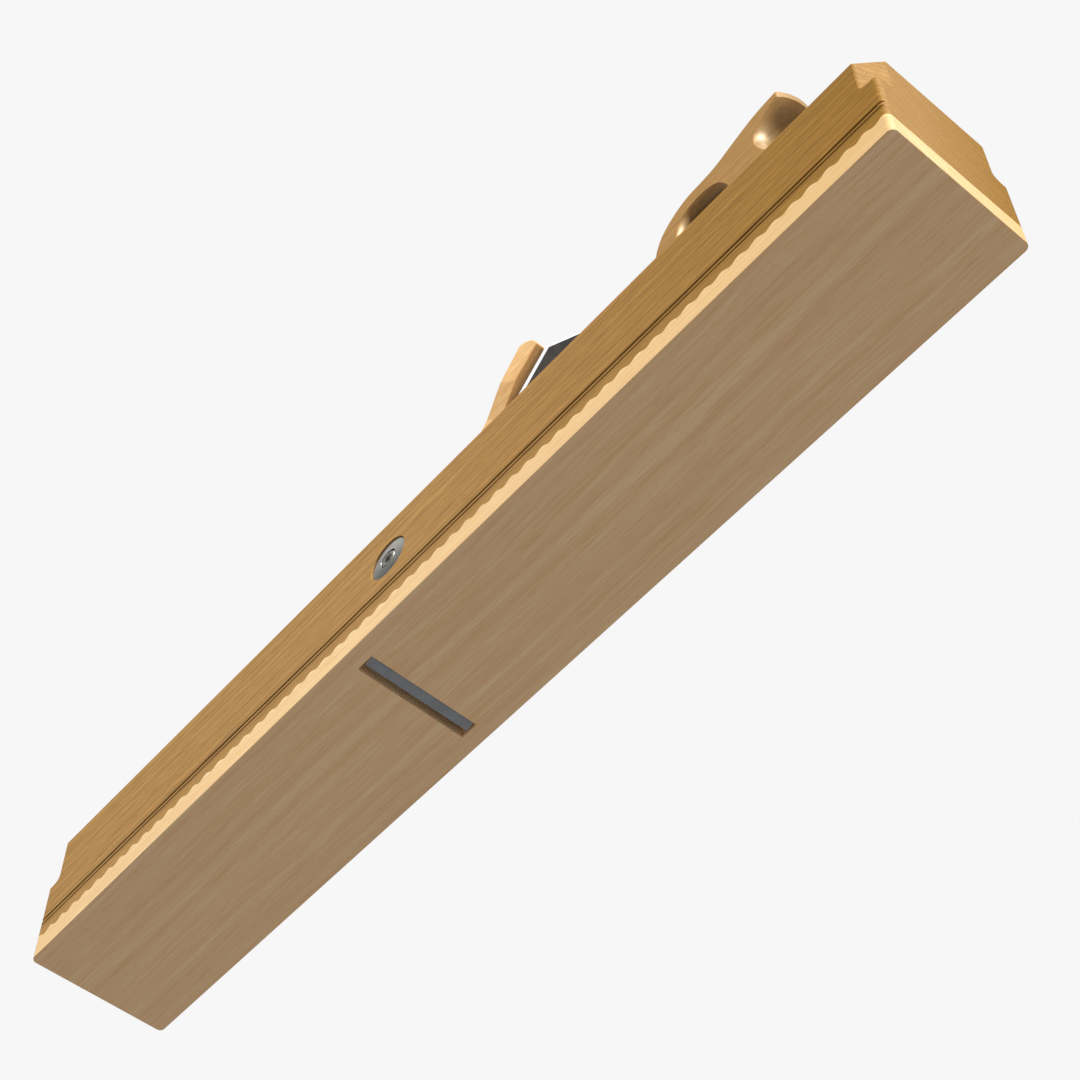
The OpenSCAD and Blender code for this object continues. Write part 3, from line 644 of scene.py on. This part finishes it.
# %% Sole
def grown(name, tree, values):
    """A plain mesh from a tree that is given these values for its named inputs."""
    seedling = bpy.data.objects.new(name + "_seedling", bpy.data.meshes.new(name + "_seedling"))
    bpy.context.scene.collection.objects.link(seedling)
    growth = seedling.modifiers.new("growth", "NODES")
    growth.node_group = tree
    for socket in tree.interface.items_tree:
        if socket.in_out == "INPUT":
            growth[socket.identifier] = values[socket.name]
    evaluated = seedling.evaluated_get(bpy.context.evaluated_depsgraph_get())
    mesh = bpy.data.meshes.new_from_object(evaluated)
    bpy.data.objects.remove(seedling)
    return mesh


SOLE_BEVEL = 0.6 * MM
MOUTH_ZONE = 80 * MM
shell = welded(grown("sole", sole_tree, SOLE))
print("sole:", len(shell.faces), "faces, closed:", all(e.is_manifold for e in shell.edges))


def sole_rim(edge):
    """True for an edge of the sole face on its outline, and not on the mouth."""
    return all(v.co.z < WELD and (abs(v.co.y) > SOLE["Mouth Width"] / 2 + WELD or abs(v.co.x) > MOUTH_ZONE)
               for v in edge.verts)


sole = finished("sole_wave_jointed", shell, [hornbeam], SOLE_BEVEL, sole_rim)
dress(sole, "root", "sole_hornbeam", "sole")

# %% [markdown]
# The wedge is planed to its taper and its top end is rounded over, so that a mallet does not split it.
# Some of its faces meet at a few degrees only, and a low crease shades them as the flats that they are.

# %% Wedge
ARRIS_WEDGE = 0.5 * MM
NECK_CREASE = math.radians(5)
wedge = finished("wedge_eased", cad_shell("wedge"), [wedge_beech], ARRIS_WEDGE, crease=NECK_CREASE)
dress(wedge, "wedge", "wedge_beech", "wedge")

# %% [markdown]
# The iron has three finishes: dark flats, a bevel fresh from the stone, and bright filed edges. They
# are told apart by the way each face looks, which is the same at every pose because it is part of
# the mesh.

# %% Plane iron and cap iron
ARRIS_IRON = 0.15 * MM
BED = Vector((0.70711, 0.0, 0.70711))
IRON_STEELS = [dark_steel, ground_steel, filed_steel_painted_glint]
FLAT_FACE, GROUND_BEVEL, FILED_EDGE = range(3)
# Cosines that tell the faces of an iron apart by the way they look
SQUARE_TO = 0.99
HALFWAY = 0.5
ALONG = 0.1


def iron_finish(face):
    """Which of its steels a face of the iron shows."""
    on_bed = abs(face.normal.dot(BED))
    if on_bed > SQUARE_TO:
        return FLAT_FACE
    bevel = abs(face.normal.y) < ALONG and face.normal.z < -HALFWAY and on_bed > HALFWAY
    return GROUND_BEVEL if bevel else FILED_EDGE


def cap_finish(face):
    """The cap iron is dark all over, apart from its filed sides."""
    return FILED_EDGE if abs(face.normal.y) > HALFWAY else FLAT_FACE


iron = finished("iron_ground", cad_shell("plane_iron"), IRON_STEELS, ARRIS_IRON, pick=iron_finish)
dress(iron, "iron", "iron_steel", "plane_iron")
cap = finished("cap_iron_ground", cad_shell("cap_iron"), IRON_STEELS, ARRIS_IRON, pick=cap_finish)
dress(cap, "cap", "cap_steel", "cap_iron")

# %% [markdown]
# Screw, rod, washers and bolts are turned parts. They keep their CAD shape with the arrises broken. The
# strike button is turned of hornbeam, which bears a mallet better than beech, and is eased by more.

# %% Turned fittings
ARRIS_FITTING = 0.15 * MM
ARRIS_BUTTON = 0.4 * MM
fittings = [
    ("cap_screw", "screw", "screw_steel", turned_steel),
    ("cross_rod", "root", "rod_steel", turned_steel),
    ("left_washer", "root", "washer_steel", washer_steel),
    ("right_washer", "root", "washer_steel", washer_steel),
    ("left_bolt", "root", "bolt_steel", bolt_steel),
    ("right_bolt", "root", "bolt_steel", bolt_steel),
]
for node, body, slot, metal in fittings:
    dress(finished(node + "_turned", cad_shell(node), [metal], ARRIS_FITTING), body, slot, node)
button = finished("strike_button_turned", cad_shell("strike_button"), [button_hornbeam], ARRIS_BUTTON)
dress(button, "root", "button_hornbeam", "strike_button")

# %% [markdown]
# The tote is sawn from a board along a drawn outline, and its edges are then rounded with a rasp: a lot
# where the hand presses, a little elsewhere. The outline is a smooth curve through a few points, and
# each point carries the radius of its edge, so one skin wraps the whole handle. The same points make
# the CAD solid; here the skin is about four times finer. The numbers are millimetres, as on a drawing.

# %% Outline of the tote
TOTE_THICK = 28.0
TOTE_X = -232.0
STOCK_TOP = 80.0
HORN = 107.5
# What is rounded off where a hand grips, elsewhere, at the tip of the horn and at the stock
GRIP = 6.0
EDGE = 1.6
TIP = 0.8
BASE = 0.3
SWELL = 5.0
FULL = 2.1
CURVE_STEPS = 10
# Each point is the distance forwards of the horn's tip, the height above the stock, what is rounded off
# the edge, the swell across the thickness, and how many times wider than deep the rounding is.
TOP_RUN = [
    (0, HORN, TIP, SWELL, 1), (7, HORN - 0.2, EDGE, 0.5 * SWELL, 1), (16.5, HORN - 2.1, EDGE, 0, 1),
    (26, HORN - 5.7, EDGE, 0, 1), (35, HORN - 9.6, EDGE, 0, 1), (43, HORN - 12.9, EDGE, 0, 1),
    (52.5, HORN - 14.5, EDGE, 0, 1), (60, HORN - 15, EDGE, 0, 1), (67, HORN - 17.2, EDGE, 0, 1),
    (74.8, HORN - 22, EDGE, 0, 1), (81.5, HORN - 28.9, EDGE, 0, 1), (86.1, HORN - 38.8, EDGE, 0, 1),
    (88.5, HORN - 53.5, EDGE, 0, 1), (88.2, 36, EDGE, 0, 1), (87, 20, EDGE, 0, 1), (89, 8, EDGE, 0, 1),
    (94, 0, BASE, 0, 1),
]
PALM_RUN = [
    (-20, 0, BASE, 0, 1), (-16, 7, EDGE, 0, 1.3), (-13, 18, 0.6 * GRIP, 0, 1.7),
    (-9, 32, 0.8 * GRIP, 0, FULL), (-3, 47, GRIP, 0, FULL), (4.3, 61, GRIP, 0, FULL),
    (10, HORN - 34.5, GRIP, 0, FULL), (12, HORN - 25.5, GRIP, 0, FULL),
    (9.6, HORN - 17.7, 0.95 * GRIP, 0.1 * SWELL, 1.6), (4.6, HORN - 11.3, 0.7 * GRIP, 0.5 * SWELL, 1.3),
    (0, HORN - 5.2, TIP, SWELL, 1),
]
HOLE_RUN = [
    (44.3, HORN - 39.7, GRIP, 0, FULL), (49.2, HORN - 33.5, GRIP, 0, FULL),
    (56.8, HORN - 30.3, 0.65 * GRIP, 0, FULL), (64.8, HORN - 32.4, 0.5 * GRIP, 0, FULL),
    (69.1, HORN - 42.3, 0.5 * GRIP, 0, FULL), (69.5, 50, 0.5 * GRIP, 0, FULL),
    (67.5, 36, 0.5 * GRIP, 0, FULL), (62, 22, 0.5 * GRIP, 0, FULL), (51, 12.5, 0.5 * GRIP, 0, FULL),
    (39, 11, 0.5 * GRIP, 0, FULL), (31, 17, 0.7 * GRIP, 0, FULL), (30.5, 28, GRIP, 0, FULL),
    (34.5, 42, GRIP, 0, FULL), (39.5, 54, GRIP, 0, FULL),
]


def on_curve(a, b, c, d, t):
    """A point between b and c on the smooth curve through four neighbours."""
    return tuple(0.5 * (2 * q + (r - p) * t + (2 * p - 5 * q + 4 * r - s) * t * t
                        + (3 * q - p - 3 * r + s) * t ** 3) for p, q, r, s in zip(a, b, c, d))


def open_run(points):
    """The smooth curve through points, from the first to the last."""
    last = len(points) - 1
    steps = [k / CURVE_STEPS for k in range(CURVE_STEPS)]
    curve = [on_curve(points[max(i - 1, 0)], points[i], points[i + 1], points[min(i + 2, last)], t)
             for i in range(last) for t in steps]
    return curve + [points[-1]]


def closed_run(points):
    """The smooth closed curve through points."""
    n = len(points)
    return [on_curve(points[i - 1], points[i], points[(i + 1) % n], points[(i + 2) % n], k / CURVE_STEPS)
            for i in range(n) for k in range(CURVE_STEPS)]


outline = open_run(TOP_RUN) + open_run(PALM_RUN)
hole = closed_run(HOLE_RUN)
print("tote:", len(outline), "points round the outline and", len(hole), "round the finger hole")

# %% [markdown]
# The skin is a stack of rings, each a copy of the outline that is moved inwards as the rounding turns
# away from the flat. The rounding is wider than it is deep where the palm lies. Where a hand grips, the
# rings also carry a number between nought and one, in which the wood is darkened as painted shade.

# %% Rings of the tote
ROUND_STEPS = 8
SWELL_STEPS = 5
# A corner is lengthened by no more than one over this
CORNER_LIMIT = 0.6
# Half of the flat that always stays between two roundings, in millimetres
LEAST_FLAT = 0.1
# Share of painted shade on the palm, and the share of the half thickness over which it fades
PALM_SHADE = 0.5
SHADE_FADE = 0.35


def inward(points, i):
    """Direction into a clockwise outline at point i, lengthened at a corner."""
    before, here, after = (Vector(points[j % len(points)][:2]) for j in (i - 1, i, i + 1))
    u = (here - before).normalized()
    v = (after - here).normalized()
    right_u, right_v = Vector((u.y, -u.x)), Vector((v.y, -v.x))
    w = (right_u + right_v).normalized()
    return w / max(w.dot(right_u), CORNER_LIMIT)


def layers():
    """Share of the flat middle and share of the rounding of each ring, from the right face to the left."""
    upper = [(k / SWELL_STEPS, 0.0) for k in range(SWELL_STEPS)]
    upper += [(1.0, k / ROUND_STEPS) for k in range(ROUND_STEPS + 1)]
    return [(-share, part) for share, part in reversed(upper[1:])] + upper


def ring(points, share, part, way):
    """One ring of the skin, in metres, and how much painted shade each of its points holds."""
    half = TOTE_THICK / 2
    made = []
    for i, (x, z, depth, swell, fullness) in enumerate(points):
        width = min(depth * fullness, half - LEAST_FLAT)
        whole = 2 * math.atan(depth / width)
        radius = width / math.sin(whole)
        y = share * (half - width) + math.copysign(radius * math.sin(part * whole), share)
        shift = inward(points, i) * way * radius * (1 - math.cos(part * whole))
        back = swell * (1 - (y / half) ** 2)
        place = Vector((TOTE_X + x + shift.x - back, y, STOCK_TOP + z + shift.y)) * MM
        # How much painted shade the point holds: most where the grip is deeply rounded, less towards the
        # flats.
        gripped = min(max((depth - EDGE) / (0.5 * GRIP - EDGE), 0.0), 1.0)
        inside = min(max((half - abs(y)) / (SHADE_FADE * half), 0.0), 1.0)
        made.append((place, gripped * inside * (PALM_SHADE if way > 0 else 1.0)))
    return made


outer_rings = [ring(outline, *layer, 1) for layer in layers()]
inner_rings = [ring(hole, *layer, -1) for layer in layers()]
print("tote:", len(outer_rings), "rings for the outline and as many for the finger hole")

# %% [markdown]
# Rings that follow each other are joined by faces with four corners, and the two flats are filled
# between the outline and the finger hole. What comes out has no gap, as a solid should have none.


# %% Skin of the tote
def add_skin(shell, rings, outwards):
    """Adds the quads between rings of equal length, and gives the first and last ring of vertices."""
    # Each vertex keeps its share of painted shade.
    grip_shade = shell.verts.layers.float.get("grip_shade") or shell.verts.layers.float.new("grip_shade")
    rows = [[shell.verts.new(place) for place, _ in points] for points in rings]
    for row, points in zip(rows, rings):
        for vertex, (_, shade_share) in zip(row, points):
            vertex[grip_shade] = shade_share
    for low, high in zip(rows, rows[1:]):
        for i in range(len(low)):
            j = (i + 1) % len(low)
            quad = (low[i], high[i], high[j], low[j])
            shell.faces.new(quad if outwards else quad[::-1])
    return rows[0], rows[-1]


def add_flat(shell, outline, hole):
    """Fills the flat between an outline and the hole in it."""
    edges = [shell.edges.get((loop[i - 1], loop[i])) for loop in (outline, hole) for i in range(len(loop))]
    bmesh.ops.triangle_fill(shell, edges=edges, use_beauty=True, use_dissolve=False)


tote_shell = bmesh.new()
outer_edges = add_skin(tote_shell, outer_rings, True)
inner_edges = add_skin(tote_shell, inner_rings, False)
for outer_edge, inner_edge in zip(outer_edges, inner_edges):
    add_flat(tote_shell, outer_edge, inner_edge)
bmesh.ops.recalc_face_normals(tote_shell, faces=tote_shell.faces)
print("tote:", len(tote_shell.faces), "faces, closed:", all(e.is_manifold for e in tote_shell.edges))
tote = finished("tote_rasped", tote_shell, [tote_beech])
dress(tote, "root", "tote_beech", "tote")
